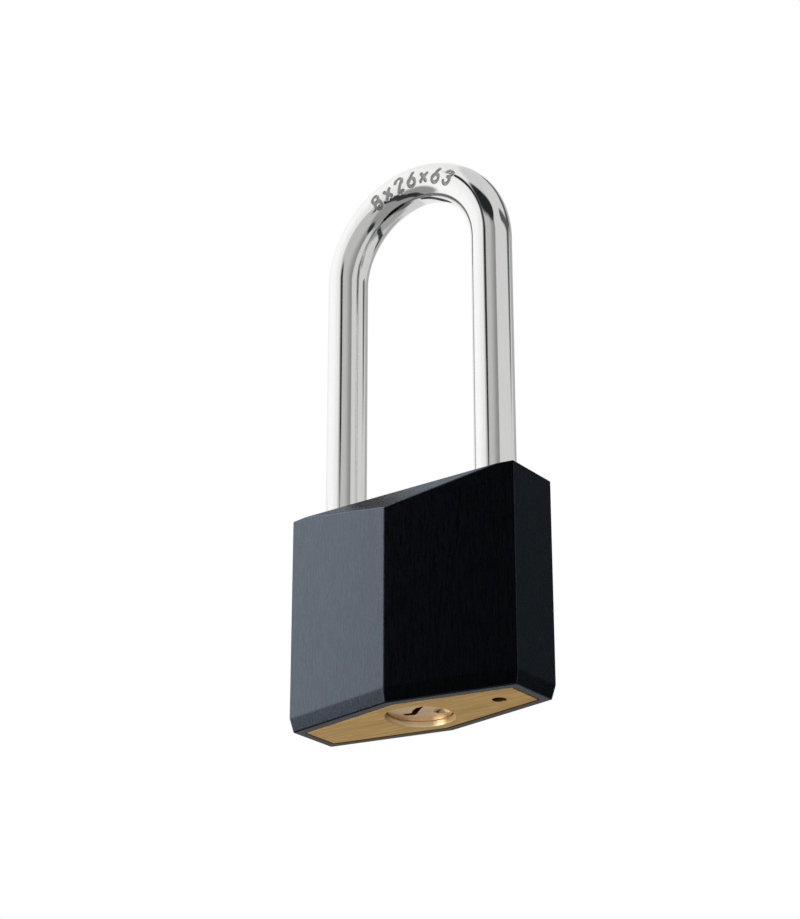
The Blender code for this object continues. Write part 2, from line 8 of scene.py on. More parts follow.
import bpy
import numpy as np
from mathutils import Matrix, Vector


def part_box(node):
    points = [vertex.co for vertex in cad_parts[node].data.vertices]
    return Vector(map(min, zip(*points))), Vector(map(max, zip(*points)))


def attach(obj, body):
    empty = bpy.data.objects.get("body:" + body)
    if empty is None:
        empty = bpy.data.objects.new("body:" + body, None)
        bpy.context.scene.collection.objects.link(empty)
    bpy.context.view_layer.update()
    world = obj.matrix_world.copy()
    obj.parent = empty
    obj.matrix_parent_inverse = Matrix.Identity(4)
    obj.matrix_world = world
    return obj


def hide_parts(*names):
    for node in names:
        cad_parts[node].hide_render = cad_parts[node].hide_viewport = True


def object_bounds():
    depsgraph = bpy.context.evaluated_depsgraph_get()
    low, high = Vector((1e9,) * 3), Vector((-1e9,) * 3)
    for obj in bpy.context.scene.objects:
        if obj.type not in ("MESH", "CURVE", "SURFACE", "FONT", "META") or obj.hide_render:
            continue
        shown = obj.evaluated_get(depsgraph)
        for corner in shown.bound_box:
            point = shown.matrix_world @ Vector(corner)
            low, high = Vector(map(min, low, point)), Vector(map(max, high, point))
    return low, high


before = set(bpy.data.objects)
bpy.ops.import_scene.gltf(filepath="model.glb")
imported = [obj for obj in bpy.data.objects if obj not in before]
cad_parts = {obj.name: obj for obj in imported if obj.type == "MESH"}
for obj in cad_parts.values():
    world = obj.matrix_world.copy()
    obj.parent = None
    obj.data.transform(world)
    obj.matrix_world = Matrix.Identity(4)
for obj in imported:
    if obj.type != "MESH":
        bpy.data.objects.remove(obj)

cad_low, cad_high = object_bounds()

# Camera: a long lens, low and to the right, looking up so that the key's end shows.
CAMERA_AIM = Vector((-0.00286, -0.00210, 0.04996))
CAMERA_DISTANCE = 0.4396
CAMERA_AZIMUTH = 36.3
CAMERA_ELEVATION = -23.42
CAMERA_LENS = 92.31
CAMERA_CLIP_START = 0.01


def direction(azimuth, elevation):
    """Unit vector at an azimuth from the front round to the right, and an elevation, in degrees."""
    turn = math.radians(azimuth)
    rise = math.radians(elevation)
    level = math.cos(rise)
    return Vector((math.sin(turn) * level, -math.cos(turn) * level, math.sin(rise)))


def add_object(name, data):
    """A new object in the scene; it stays at the origin unless it is a camera or a light."""
    thing = bpy.data.objects.new(name, data)
    bpy.context.scene.collection.objects.link(thing)
    return thing


camera_data = bpy.data.cameras.new("camera")
camera_data.lens = CAMERA_LENS
camera_data.clip_start = CAMERA_CLIP_START
camera = add_object("camera", camera_data)
bpy.context.scene.camera = camera
camera.location = CAMERA_AIM + CAMERA_DISTANCE * direction(CAMERA_AZIMUTH, CAMERA_ELEVATION)
camera.rotation_euler = (CAMERA_AIM - camera.location).to_track_quat("-Z", "Y").to_euler()


# World: plain white behind the padlock, and almost no light from it.
WHITE = (1.0, 1.0, 1.0, 1.0)
WORLD_FILL = 0.012


def set_inputs(tree, node, inputs):
    """Sets a node's inputs, by name or number, each to a link or a plain value."""
    for name, value in inputs.items():
        if isinstance(value, bpy.types.NodeSocket):
            tree.links.new(value, node.inputs[name])
        else:
            node.inputs[name].default_value = value


def add_node(tree, kind, inputs=(), **settings):
    """A shader node with its settings and its inputs."""
    node = tree.nodes.new("ShaderNode" + kind)
    for name, value in settings.items():
        setattr(node, name, value)
    set_inputs(tree, node, dict(inputs))
    return node


bpy.context.scene.view_settings.view_transform = "Standard"
world = bpy.data.worlds.new("studio")
bpy.context.scene.world = world
world.use_nodes = True
world.node_tree.nodes.clear()
to_camera = add_node(world.node_tree, "LightPath").outputs["Is Camera Ray"]
seen = add_node(world.node_tree, "Background", {"Color": WHITE, "Strength": 1.0})
fill = add_node(world.node_tree, "Background", {"Color": WHITE, "Strength": WORLD_FILL})
both = add_node(
    world.node_tree, "MixShader", {0: to_camera, 1: fill.outputs[0], 2: seen.outputs[0]}
)
add_node(world.node_tree, "OutputWorld", {"Surface": both.outputs[0]})

# Softboxes: each is a plain soft light that only its own group of pieces receives, so that the
# dark moulding, the brass and the polished bar each have the surroundings that suit them.
STUDIO_CENTRE = Vector((0.0, 0.0, 0.03))
SOFTBOX_DISTANCE = 0.8

lit_groups = {}
for group_name in ("moulding", "brass", "steel", "floor"):
    lit_groups[group_name] = bpy.data.collections.new("lit_" + group_name)


def softbox(name, azimuth, elevation, width, height, radiance, group, colour=(1.0, 1.0, 1.0)):
    """A rectangular light facing the padlock; width and height are the angles it fills."""
    data = bpy.data.lights.new(name, "AREA")
    data.shape = "RECTANGLE"
    data.size = 2 * SOFTBOX_DISTANCE * math.tan(math.radians(width / 2))
    data.size_y = 2 * SOFTBOX_DISTANCE * math.tan(math.radians(height / 2))
    data.energy = radiance * math.pi * data.size * data.size_y
    data.color = colour
    light = add_object(name, data)
    towards = direction(azimuth, elevation)
    light.location = STUDIO_CENTRE + SOFTBOX_DISTANCE * towards
    light.rotation_euler = towards.to_track_quat("Z", "Y").to_euler()
    light.visible_camera = False
    light.light_linking.receiver_collection = lit_groups[group]


COOL = (0.71, 0.83, 1.0)
softbox("key_for_moulding", -66.0, 28.0, 38.0, 60.0, 3.2, "moulding", COOL)
softbox("rear_for_moulding", 112.0, 10.0, 14.0, 50.0, 1.6, "moulding", COOL)
softbox("rear_left_for_moulding", -126.0, 50.0, 18.0, 18.0, 1.2, "moulding", COOL)
softbox("under_for_moulding", -143.0, -28.0, 50.0, 40.0, 0.44, "moulding")
softbox("side_for_moulding", 146.0, 24.0, 16.0, 40.0, 0.22, "moulding", COOL)
softbox("edge_for_moulding", 75.0, 20.0, 14.0, 44.0, 0.9, "moulding", COOL)
softbox("low_front_for_moulding", -20.0, -44.0, 70.0, 22.0, 0.9, "moulding", COOL)
softbox("low_right_for_moulding", 106.0, -28.0, 34.0, 28.0, 1.0, "moulding", COOL)
softbox("low_back_for_moulding", 164.0, -30.0, 26.0, 24.0, 0.6, "moulding", COOL)
softbox("under_for_brass", -140.0, -26.0, 60.0, 44.0, 0.53, "brass")
softbox("front_for_brass", 32.0, -28.0, 80.0, 40.0, 0.80, "brass")
softbox("mouth_for_brass", -36.0, -18.0, 34.0, 28.0, 3.6, "brass")
softbox("left_for_brass", -104.0, -34.0, 40.0, 50.0, 0.80, "brass")
softbox("right_for_brass", 124.0, -30.0, 90.0, 50.0, 0.32, "brass")
softbox("below_for_brass", -30.0, -80.0, 70.0, 60.0, 0.40, "brass")

# Floor light: one wide sun that only the floor receives, so the paper is evenly pale.
FLOOR_SUN_STRENGTH = 3.70
FLOOR_SUN_SPREAD = 110.0

floor_sun_data = bpy.data.lights.new("sun_for_floor", "SUN")
floor_sun_data.energy = FLOOR_SUN_STRENGTH
floor_sun_data.angle = math.radians(FLOOR_SUN_SPREAD)
floor_sun = add_object("sun_for_floor", floor_sun_data)
floor_sun.light_linking.receiver_collection = lit_groups["floor"]

# Tent: soft panels and dark edges all round, which only the polished steel receives.
# Each strip runs from one direction to another (azimuth, elevation), with its half width, the
# softness of its edge in degrees, and how bright it is; later strips lie over earlier ones.
TENT_RADIUS = 1.5
TENT_ROWS = 33
TENT_COLUMNS = 64
TENT_GAIN = 1.38
TENT_BASE = 0.60
TENT_SHADE = (0.78, 0.90, 1.0)
TENT_LIGHT = (1.0, 0.998, 0.992)
TENT_SHADE_FADE = 4.0
STRIP_LEAST_RUN = 1e-4
TENT_STRIPS = [
    ((0, 90), (0, 90), 36, 12, 0.60),
    ((-80, 15), (-80, 16), 62, 4, 0.79),
    ((-66, 5), (-66, 35), 6, 42, 0.95),
    ((0, -90), (0, -88), 28, 10, 0.12),
    ((26, -10), (26, 25), 32, 5, 0.49),
    ((58, -28), (58, 40), 3, 28, 0.24),
    ((93, -28), (93, 48), 27, 3, 0.62),
    ((178, -10), (178, 40), 12, 8, 0.38),
    ((-60, -44), (20, -62), 26, 10, 0.28),
    ((100, -50), (170, -50), 14, 12, 0.34),
    ((104, 8), (104, -40), 3, 3, 0.30),
    ((6, 50), (44, 48), 8, 4, 0.02),
    ((-24, 52), (0, 28), 3, 3, 0.02),
    ((-9, -16), (-6, 40), 2.7, 2.0, 0.06),
    ((158, -15), (158, 48), 5, 3, 0.05),
    ((-92, -15), (-92, 22), 1.0, 1.2, 0.25),
    ((-125, 5), (-110, -35), 5, 3, 0.06),
    ((-110, -35), (-60, -47), 6, 3, 0.05),
    ((-60, -47), (-35, -50), 7, 3, 0.03),
    ((-35, -50), (-15, -28), 6, 3, 0.04),
    ((-15, -28), (-5, -15), 4, 3, 0.04),
    ((42, -36), (50, -38), 6, 4, 0.03),
    ((160, -15), (150, -25), 2.5, 3, 0.05),
    ((150, -25), (120, -45), 3, 3, 0.04),
    ((120, -45), (100, -52), 3, 3, 0.04),
    ((105, 45), (140, 33), 4, 4, 0.10),
    ((140, 33), (180, 55), 4, 4, 0.10),
]


def grid_faces(rows, columns):
    """Quads between neighbouring points of a grid whose columns wrap round."""
    here, across = np.meshgrid(np.arange(rows - 1), np.arange(columns), indexing="ij")
    after = here + 1
    beside = (across + 1) % columns
    corners = [
        here * columns + across,
        here * columns + beside,
        after * columns + beside,
        after * columns + across,
    ]
    return np.stack(corners, axis=-1).reshape(-1, 4)


def new_mesh(name, points, faces):
    """A mesh from an array of points and a list of faces."""
    mesh = bpy.data.meshes.new(name)
    corners = [[int(corner) for corner in face] for face in faces]
    mesh.from_pydata(np.asarray(points, float).reshape(-1, 3), [], corners)
    mesh.validate()
    return mesh


def group_socket(tree, name, way, kind, value=None):
    """An input or output of a node group, with the value an input has when nothing is linked."""
    socket = tree.interface.new_socket(name=name, in_out=way, socket_type="NodeSocket" + kind)
    if value is not None:
        socket.default_value = value


def number_node(tree, operation, first, second, clamp=False):
    """A number worked out from two others."""
    inputs = {0: first, 1: second}
    return add_node(tree, "Math", inputs, operation=operation, use_clamp=clamp).outputs["Value"]


def vector_node(tree, operation, first, second):
    """A vector worked out from two others, or the number of a dot product or a distance."""
    node = add_node(tree, "VectorMath", {0: first, 1: second}, operation=operation)
    return node.outputs["Value" if operation in ("DOT_PRODUCT", "DISTANCE") else "Vector"]


def scaled(tree, vector, by):
    """A vector or a colour times a number."""
    inputs = {0: vector, "Scale": by}
    return add_node(tree, "VectorMath", inputs, operation="SCALE").outputs["Vector"]


# A Mix node's inputs go by number: 0 the mask, 2 and 3 its two numbers, 6 and 7 its two colours.
def between(tree, mask, low, high):
    """A number that goes from low to high with the mask."""
    return add_node(tree, "Mix", {0: mask, 2: low, 3: high}, data_type="FLOAT").outputs[0]


def between_colours(tree, mask, low, high):
    """A colour that goes from low to high with the mask; each is a link or three channels."""
    ends = [end if isinstance(end, bpy.types.NodeSocket) else (*end, 1.0) for end in (low, high)]
    inputs = {0: mask, 6: ends[0], 7: ends[1]}
    return add_node(tree, "Mix", inputs, data_type="RGBA").outputs[2]


def soft_below(tree, value, low, high, interpolation="SMOOTHSTEP"):
    """Mask that is 1 where the value is under low, 0 where it is over high, and eases between."""
    inputs = {"Value": value, "From Min": low, "From Max": high, "To Min": 1.0, "To Max": 0.0}
    return add_node(tree, "MapRange", inputs, interpolation_type=interpolation).outputs["Result"]


def make_strip_group():
    """Mask of a soft strip: how near a direction is to the line between two others."""
    tree = bpy.data.node_groups.new("soft_strip", "ShaderNodeTree")
    group_socket(tree, "Direction", "INPUT", "Vector")
    group_socket(tree, "From", "INPUT", "Vector")
    group_socket(tree, "To", "INPUT", "Vector")
    group_socket(tree, "Half Width", "INPUT", "Float", 0.1)
    group_socket(tree, "Edge", "INPUT", "Float", 0.1)
    group_socket(tree, "Mask", "OUTPUT", "Float")
    given = tree.nodes.new("NodeGroupInput").outputs
    run = vector_node(tree, "SUBTRACT", given["To"], given["From"])
    away = vector_node(tree, "SUBTRACT", given["Direction"], given["From"])
    along = vector_node(tree, "DOT_PRODUCT", away, run)
    square = vector_node(tree, "DOT_PRODUCT", run, run)
    share = number_node(tree, "DIVIDE", along, square, clamp=True)
    gap = vector_node(tree, "DISTANCE", away, scaled(tree, run, share))
    outer = number_node(tree, "ADD", given["Half Width"], given["Edge"])
    result = tree.nodes.new("NodeGroupOutput")
    tree.links.new(soft_below(tree, gap, given["Half Width"], outer), result.inputs["Mask"])
    return tree


def plain_tree(name):
    """An empty material and its tree, with the Object coordinates of the piece it is put on."""
    material = bpy.data.materials.new(name)
    material.use_nodes = True
    tree = material.node_tree
    tree.nodes.clear()
    return material, tree, add_node(tree, "TexCoord").outputs["Object"]


def make_tent():
    """A sphere round the padlock whose inside glows with the strips above.

    A point is (cos rise cos turn, cos rise sin turn, sin rise) times the tent's radius.
    """
    rise = np.linspace(-np.pi / 2, np.pi / 2, TENT_ROWS)[:, None]
    turn = np.linspace(0, 2 * np.pi, TENT_COLUMNS, endpoint=False)[None, :]
    out = np.cos(rise)
    shell = np.stack([out * np.cos(turn), out * np.sin(turn), np.sin(rise) + 0 * turn], axis=-1)
    mesh = new_mesh("tent", shell * TENT_RADIUS, grid_faces(TENT_ROWS, TENT_COLUMNS))
    tent = add_object("tent", mesh)
    panels, tree, place = plain_tree("tent_panels")
    towards = add_node(tree, "VectorMath", {0: place}, operation="NORMALIZE").outputs["Vector"]
    base = add_node(tree, "Value")
    base.outputs[0].default_value = TENT_BASE
    level = base.outputs[0]
    strip_group = make_strip_group()
    for start, end, half_width, edge, bright in TENT_STRIPS:
        strip = add_node(tree, "Group", node_tree=strip_group)
        strip_inputs = {
            "Direction": towards,
            "From": direction(*start),
            "To": direction(*end) + Vector((0.0, 0.0, STRIP_LEAST_RUN)),
            "Half Width": math.radians(half_width),
            "Edge": math.radians(edge),
        }
        set_inputs(tree, strip, strip_inputs)
        level = between(tree, strip.outputs["Mask"], level, bright)
    strength = number_node(tree, "MULTIPLY", level, TENT_GAIN)
    lit = number_node(tree, "MULTIPLY", level, TENT_SHADE_FADE, clamp=True)
    tint = between_colours(tree, lit, TENT_SHADE, TENT_LIGHT)
    glow = add_node(tree, "Emission", {"Color": tint, "Strength": strength})
    add_node(tree, "OutputMaterial", {"Surface": glow.outputs[0]})
    mesh.materials.append(panels)
    tent.visible_camera = False
    tent.visible_diffuse = False
    tent.visible_shadow = False
    tent.visible_transmission = False
    tent.light_linking.receiver_collection = lit_groups["steel"]


make_tent()


# Floor: a plain pale sheet that shows from above only, so that it never hides the key's end.
FLOOR_HALF = 5.0
FLOOR_DROP = 0.0002
FLOOR_CLOUDS = 9.0
FLOOR_TONES = ((0.80, 0.80, 0.80), (0.84, 0.84, 0.835))


def make_floor():
    """A square just under the padlock; its underside is clear."""
    low = cad_low.z - FLOOR_DROP
    signs = [(-1, -1), (1, -1), (1, 1), (-1, 1)]
    corners = [(x * FLOOR_HALF, y * FLOOR_HALF, low) for x, y in signs]
    mesh = new_mesh("floor", corners, [(0, 1, 2, 3)])
    floor = add_object("floor", mesh)
    paper, tree, place = plain_tree("pale_paper")
    clouds = add_node(tree, "TexNoise", {"Vector": place, "Scale": FLOOR_CLOUDS, "Detail": 2.0})
    tone = between_colours(tree, clouds.outputs["Fac"], *FLOOR_TONES)
    sheet = add_node(tree, "BsdfPrincipled", {"Base Color": tone, "Roughness": 0.9})
    clear = add_node(tree, "BsdfTransparent")
    back = add_node(tree, "NewGeometry").outputs["Backfacing"]
    one_sided = add_node(tree, "MixShader", {0: back, 1: sheet.outputs[0], 2: clear.outputs[0]})
    add_node(tree, "OutputMaterial", {"Surface": one_sided.outputs[0]})
    mesh.materials.append(paper)
    floor.visible_diffuse = False
    floor.visible_glossy = False
    floor.visible_transmission = False
    floor.visible_shadow = False
    lit_groups["floor"].objects.link(floor)


make_floor()

# Moulded cover: a black thermoplastic jacket, open at the bottom, pushed over the brass body.
# Its outline has six sides; the sides meet in a crease down the middle of the front and the back,
# and the top falls away from a flat middle. It is made as two shells joined round the rim.
COVER_WALL = 0.0022
COVER_ROOF = 0.0018
COVER_EDGE = 0.00022
CHAMFER_HEIGHT = 0.0027
CHAMFER_INSET = 0.0006
TOP_FLAT_DEPTH = 0.0133
TOP_DROP = 0.0046
SEAT_GAP = 0.0003
LEG_HOLE_CLEARANCE = 0.0005
HOLE_LIP = 0.00025
HOLE_LIP_STEPS = 7
EDGE_SEGMENTS = 4
LEAST_EDGE_ANGLE = 9.0
SHARP_ANGLE = 35.0
FLAT_WEIGHT = 80
TURNED_STEPS = 96
ROUNDING = 1e-6

cover_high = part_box("body_cover")[1]
shackle_low, shackle_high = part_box("shackle")
cover_points = np.array([vertex.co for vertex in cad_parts["body_cover"].data.vertices])
half_width = cover_high.x
half_middle = cover_high.y
at_right_end = cover_points[:, 0] > half_width - ROUNDING
half_end = cover_points[at_right_end, 1].max()
slant = (half_middle - half_end) / half_width
top_slope = TOP_DROP / (half_middle - TOP_FLAT_DEPTH / 2)
leg_radius = shackle_high.y
leg_x = shackle_high.x - leg_radius


def six_corners(inset):
    """Corners of the outline from the front left end, with each side moved in by inset."""
    middle = half_middle - inset * math.hypot(1.0, slant)
    x = half_width - inset
    end = middle - slant * x
    return np.array([(-x, -end), (0, -middle), (x, -end), (x, end), (0, middle), (-x, end)])


def ten_top_points(inset, lowered):
    """Top edge of a block: the outline, with a point where each slanting side leaves the flat."""
    corners = six_corners(inset)
    flat = cover_high.z - lowered
    break_y = TOP_FLAT_DEPTH / 2 - lowered * (math.hypot(1.0, top_slope) - 1.0) / top_slope
    middle = corners[4, 1]
    break_x = (middle - break_y) / slant
    crease = flat - (middle - break_y) * top_slope
    x, end = corners[3]
    right = [(0, middle, crease), (break_x, break_y, flat), (x, end, flat)]
    front = [(px, -py, pz) for px, py, pz in right]
    return np.array(
        [
            (-x, -end, flat),
            (-break_x, -break_y, flat),
            front[0],
            front[1],
            front[2],
            right[2],
            right[1],
            right[0],
            (-break_x, break_y, flat),
            (-x, end, flat),
        ]
    )


# Points of the top edge above each of the six sides, and the faces of the top itself
TOP_OF_SIDE = [(0, 1, 2), (2, 3, 4), (4, 5), (5, 6, 7), (7, 8, 9), (9, 0)]
TOP_FACES = [(0, 1, 3, 4, 5, 6, 8, 9), (1, 2, 3), (6, 7, 8)]


def block_shell(rings, top_inset, lowered, first):
    """Points and outward faces of a block: rings of (inset, height), then its top.

    The points' numbers start at first, so that two shells can share one mesh.
    """
    levels = [np.column_stack([six_corners(inset), np.full(6, height)]) for inset, height in rings]
    points = np.vstack([*levels, ten_top_points(top_inset, lowered)])
    faces = []
    for ring in range(len(rings) - 1):
        for side in range(6):
            low = first + 6 * ring + side
            beside = first + 6 * ring + (side + 1) % 6
            faces.append((low, beside, beside + 6, low + 6))
    last = first + 6 * (len(rings) - 1)
    top = first + 6 * len(rings)
    for side, above in enumerate(TOP_OF_SIDE):
        upper = [top + point for point in reversed(above)]
        faces.append((last + side, last + (side + 1) % 6, *upper))
    faces.extend(tuple(top + point for point in face) for face in TOP_FACES)
    return points, faces


def lathe(name, profile, centre, axis="Z", steps=TURNED_STEPS):
    """A turned solid: (radius, height) points, bottom to top, carried round, flat at both ends."""
    profile = np.array(profile, float)
    turn = np.linspace(0, 2 * np.pi, steps, endpoint=False)
    radius, height = profile[:, 0:1], profile[:, 1:2]
    solid = np.stack([radius * np.cos(turn), radius * np.sin(turn), height + 0 * turn], axis=-1)
    solid = np.roll(solid, {"X": 1, "Y": 2, "Z": 0}[axis], axis=-1) + np.array(centre, float)
    faces = [tuple(face) for face in grid_faces(len(profile), steps)]
    faces.append(tuple(reversed(range(steps))))
    faces.append(tuple(range((len(profile) - 1) * steps, len(profile) * steps)))
    return new_mesh(name, solid, faces)


def bake(piece):
    """The piece's modifiers are applied to its mesh."""
    bpy.context.view_layer.update()
    evaluated = piece.evaluated_get(bpy.context.evaluated_depsgraph_get())
    mesh = bpy.data.meshes.new_from_object(evaluated)
    piece.modifiers.clear()
    piece.data = mesh


def round_edges(piece, width):
    """Rounds every edge between faces that meet at more than the least angle."""
    bevel = piece.modifiers.new("rounded", "BEVEL")
    bevel.width = width
    bevel.segments = EDGE_SEGMENTS
    bevel.limit_method = "ANGLE"
    bevel.angle_limit = math.radians(LEAST_EDGE_ANGLE)
    bevel.miter_outer = "MITER_ARC"
    bake(piece)


def cut_away(piece, tools, join=False):
    """Cuts the tool meshes out of the piece, or joins them to it; the tools are then removed."""
    for tool_mesh in tools:
        tool = add_object("tool", tool_mesh)
        boolean = piece.modifiers.new("cut", "BOOLEAN")
        boolean.operation = "UNION" if join else "DIFFERENCE"
        boolean.solver = "EXACT"
        boolean.object = tool
        bake(piece)
        bpy.data.objects.remove(tool, do_unlink=True)


def smooth_shading(piece):
    """Smooth faces with sharp edges left sharp, and flats kept flat beside their roundings."""
    piece.data.shade_smooth()
    piece.data.set_sharp_from_angle(angle=math.radians(SHARP_ANGLE))
    weighted = piece.modifiers.new("flats", "WEIGHTED_NORMAL")
    weighted.keep_sharp = True
    weighted.weight = FLAT_WEIGHT


outer_rings = [(CHAMFER_INSET, 0.0), (0.0, CHAMFER_HEIGHT)]
outer_points, outer_faces = block_shell(outer_rings, 0.0, 0.0, 0)
inner_start = len(outer_points)
seen_wall = COVER_WALL + SEAT_GAP / 2
inner_points, inner_faces = block_shell([(seen_wall, 0.0)], seen_wall, COVER_ROOF, inner_start)
rim_faces = [
    ((side + 1) % 6, side, inner_start + side, inner_start + (side + 1) % 6) for side in range(6)
]
cover_mesh = new_mesh(
    "moulded_cover",
    np.vstack([outer_points, inner_points]),
    outer_faces + [tuple(reversed(face)) for face in inner_faces] + rim_faces,
)
moulded_cover = add_object("moulded_cover", cover_mesh)
round_edges(moulded_cover, COVER_EDGE)
hole_radius = leg_radius + LEG_HOLE_CLEARANCE
lip_turn = np.linspace(0, np.pi / 2, HOLE_LIP_STEPS)
leg_hole = [(hole_radius, cover_high.z - 2 * COVER_ROOF)]
leg_hole += [
    (hole_radius + HOLE_LIP * (1 - math.cos(a)), cover_high.z - HOLE_LIP * (1 - math.sin(a)))
    for a in lip_turn
]
leg_hole.append((hole_radius + HOLE_LIP, cover_high.z + COVER_ROOF))
cut_away(moulded_cover, [lathe("leg_hole", leg_hole, (side * leg_x, 0, 0)) for side in (-1, 1)])
smooth_shading(moulded_cover)


# The grain's mask goes from 0 to 1 over this part of the noise's range.
GRAIN_LOW = 0.36
GRAIN_HIGH = 0.64
FINE_SCALE = 2.7


def make_grain_group():
    """Stretched noise as a height and a mask, with finer noise of the same stretch over it."""
    tree = bpy.data.node_groups.new("stretched_grain", "ShaderNodeTree")
    group_socket(tree, "Place", "INPUT", "Vector")
    group_socket(tree, "Stretch", "INPUT", "Vector", (1000.0, 1000.0, 1000.0))
    group_socket(tree, "Fine Share", "INPUT", "Float", 0.4)
    group_socket(tree, "Height", "OUTPUT", "Float")
    group_socket(tree, "Mask", "OUTPUT", "Float")
    given = tree.nodes.new("NodeGroupInput").outputs
    stretched = vector_node(tree, "MULTIPLY", given["Place"], given["Stretch"])
    noises = []
    for scale, detail, roughness in ((1.0, 3.0, 0.6), (FINE_SCALE, 2.0, 0.7)):
        inputs = {"Vector": stretched, "Scale": scale, "Detail": detail, "Roughness": roughness}
        noises.append(add_node(tree, "TexNoise", inputs).outputs["Fac"])
    height = between(tree, given["Fine Share"], noises[0], noises[1])
    limits = {"Value": height, "From Min": GRAIN_LOW, "From Max": GRAIN_HIGH}
    mask = add_node(tree, "MapRange", limits, interpolation_type="SMOOTHSTEP").outputs["Result"]
    result = tree.nodes.new("NodeGroupOutput")
    set_inputs(tree, result, {"Height": height, "Mask": mask})
    return tree


grain_group = make_grain_group()


def new_material(name):
    """A material with a Principled shader: the material, its tree, the shader and its place."""
    material, tree, place = plain_tree(name)
    shader = add_node(tree, "BsdfPrincipled")
    add_node(tree, "OutputMaterial", {"Surface": shader.outputs[0]})
    return material, tree, shader, place


def grain(tree, place, stretch, fine_share):
    """Height and mask of noise, with stretch the waves in a metre along each axis."""
    inputs = {"Place": place, "Stretch": stretch, "Fine Share": fine_share}
    return add_node(tree, "Group", inputs, node_tree=grain_group).outputs


def bump(tree, height, strength, distance):
    """Normal of a surface raised by the height, at most by the distance."""
    inputs = {"Height": height, "Strength": strength, "Distance": distance}
    return add_node(tree, "Bump", inputs).outputs["Normal"]


MOULD_MARKS = (2400.0, 2400.0, 300.0)
MOULD_PEBBLE = (3600.0, 3600.0, 3600.0)
MOULD_CLOUDS = (60.0, 60.0, 40.0)
MOULD_PEBBLE_SHARE = 0.75
MOULD_BLACKS = ((0.0010, 0.0020, 0.0032), (0.0016, 0.0030, 0.0044))
MOULD_ROUGHNESS = (0.25, 0.33)
MOULD_RELIEF = 0.00006


def black_moulding():
    """Black thermoplastic: an eggshell sheen with fine upright drawing marks from the mould."""
    material, tree, shader, place = new_material("black_moulding")
    marks = grain(tree, place, MOULD_MARKS, 0.4)
    pebble = grain(tree, place, MOULD_PEBBLE, 0.5)
    clouds = grain(tree, place, MOULD_CLOUDS, 0.2)
    heights = between(tree, MOULD_PEBBLE_SHARE, marks["Height"], pebble["Height"])
    finish = {
        "Base Color": between_colours(tree, clouds["Mask"], *MOULD_BLACKS),
        "Roughness": between(tree, marks["Mask"], *MOULD_ROUGHNESS),
        "Normal": bump(tree, heights, 0.65, MOULD_RELIEF),
        "IOR": 1.5,
    }
    set_inputs(tree, shader, finish)
    return material


moulded_cover.data.materials.append(black_moulding())
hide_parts("body_cover")
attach(moulded_cover, "body")
lit_groups["moulding"].objects.link(moulded_cover)

# Brass body: an extruded bar of lock brass inside the cover, bored for the plug, the two legs,
# the locking balls and the row of pins, with a drain hole under the heel. Its end is brushed
# from side to side.
BODY_EDGE = 0.00012
BODY_BASE = 0.0030
DRAIN_RADIUS = 0.00125
PLUG_CLEARANCE = 0.0002
MOUTH_FLARE = 0.0002
MOUTH_DEPTH = 0.0009
MOUTH_STEPS = 5
DRAIN_FLARE = 0.0001
RUNNING_GAP = 0.00025
PIN_COUNT = 5
LARGE_BORE_STEPS = 128
CROSS_BORE_STEPS = 64
DRAIN_STEPS = 48
CHAMBER_STEPS = 32
PIN_BORE_STEPS = 24

body_inset = COVER_WALL + SEAT_GAP
plug_low, plug_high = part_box("plug")
plug_radius = plug_high.y
cam_low, cam_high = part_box("ball_cam")
cam_bore = cam_high.y + PLUG_CLEARANCE
plug_bore = plug_radius + PLUG_CLEARANCE
toe_ball_low, toe_ball_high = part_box("toe_ball")
ball_radius = (toe_ball_high.x - toe_ball_low.x) / 2
ball_height = (toe_ball_high.z + toe_ball_low.z) / 2
pin_boxes = [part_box(f"key_pin_{number}") for number in range(1, PIN_COUNT + 1)]
pin_heights = [(low.z + high.z) / 2 for low, high in pin_boxes]
pin_bore = pin_boxes[0][1].y + RUNNING_GAP
retaining_low, retaining_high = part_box("plug_retaining_pin")
retaining_centre = (retaining_low + retaining_high) / 2
retaining_bore = (retaining_high.x - retaining_low.x) / 2 + SEAT_GAP
toe_points = np.array([vertex.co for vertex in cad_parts["shackle"].data.vertices])
toe_tip = toe_points[toe_points[:, 0] < 0][:, 2].min()
toe_bore_floor = toe_tip - 3 * SEAT_GAP
leg_bore = leg_radius + RUNNING_GAP
plug_shoulder = cam_low.z - SEAT_GAP


def straight(name, radius, low, high, centre, axis, steps):
    """A round cutter from low to high along an axis, through centre in the other directions."""
    return lathe(name, [(radius, low), (radius, high)], centre, axis, steps)


body_points, body_faces = block_shell([(body_inset, 0.0)], body_inset, COVER_ROOF + SEAT_GAP, 0)
body_faces.append(tuple(reversed(range(6))))
brass_body = add_object("brass_body", new_mesh("brass_body", body_points, body_faces))
round_edges(brass_body, BODY_EDGE)
mouth_round = 0.5 * MOUTH_FLARE
mouth_turn = np.linspace(0, np.pi / 2, MOUTH_STEPS)
plug_bore_profile = [(plug_bore + 2 * MOUTH_FLARE, -MOUTH_DEPTH)]
plug_bore_profile += [
    (
        plug_bore + MOUTH_FLARE + mouth_round * (1 - math.sin(a)),
        mouth_round * (1 - math.cos(a)),
    )
    for a in mouth_turn
]
plug_bore_profile += [
    (plug_bore, MOUTH_DEPTH),
    (plug_bore, plug_shoulder),
    (cam_bore, plug_shoulder),
    (cam_bore, cam_high.z + SEAT_GAP),
]
drain_profile = [
    (DRAIN_RADIUS + DRAIN_FLARE, -2 * DRAIN_FLARE),
    (DRAIN_RADIUS, DRAIN_FLARE),
    (DRAIN_RADIUS, BODY_BASE + SEAT_GAP),
]
ball_bore = ball_radius + RUNNING_GAP
toe_leg, heel_leg = (-leg_x, 0, 0), (leg_x, 0, 0)
retaining_line = (retaining_centre.x, 0, retaining_centre.z)
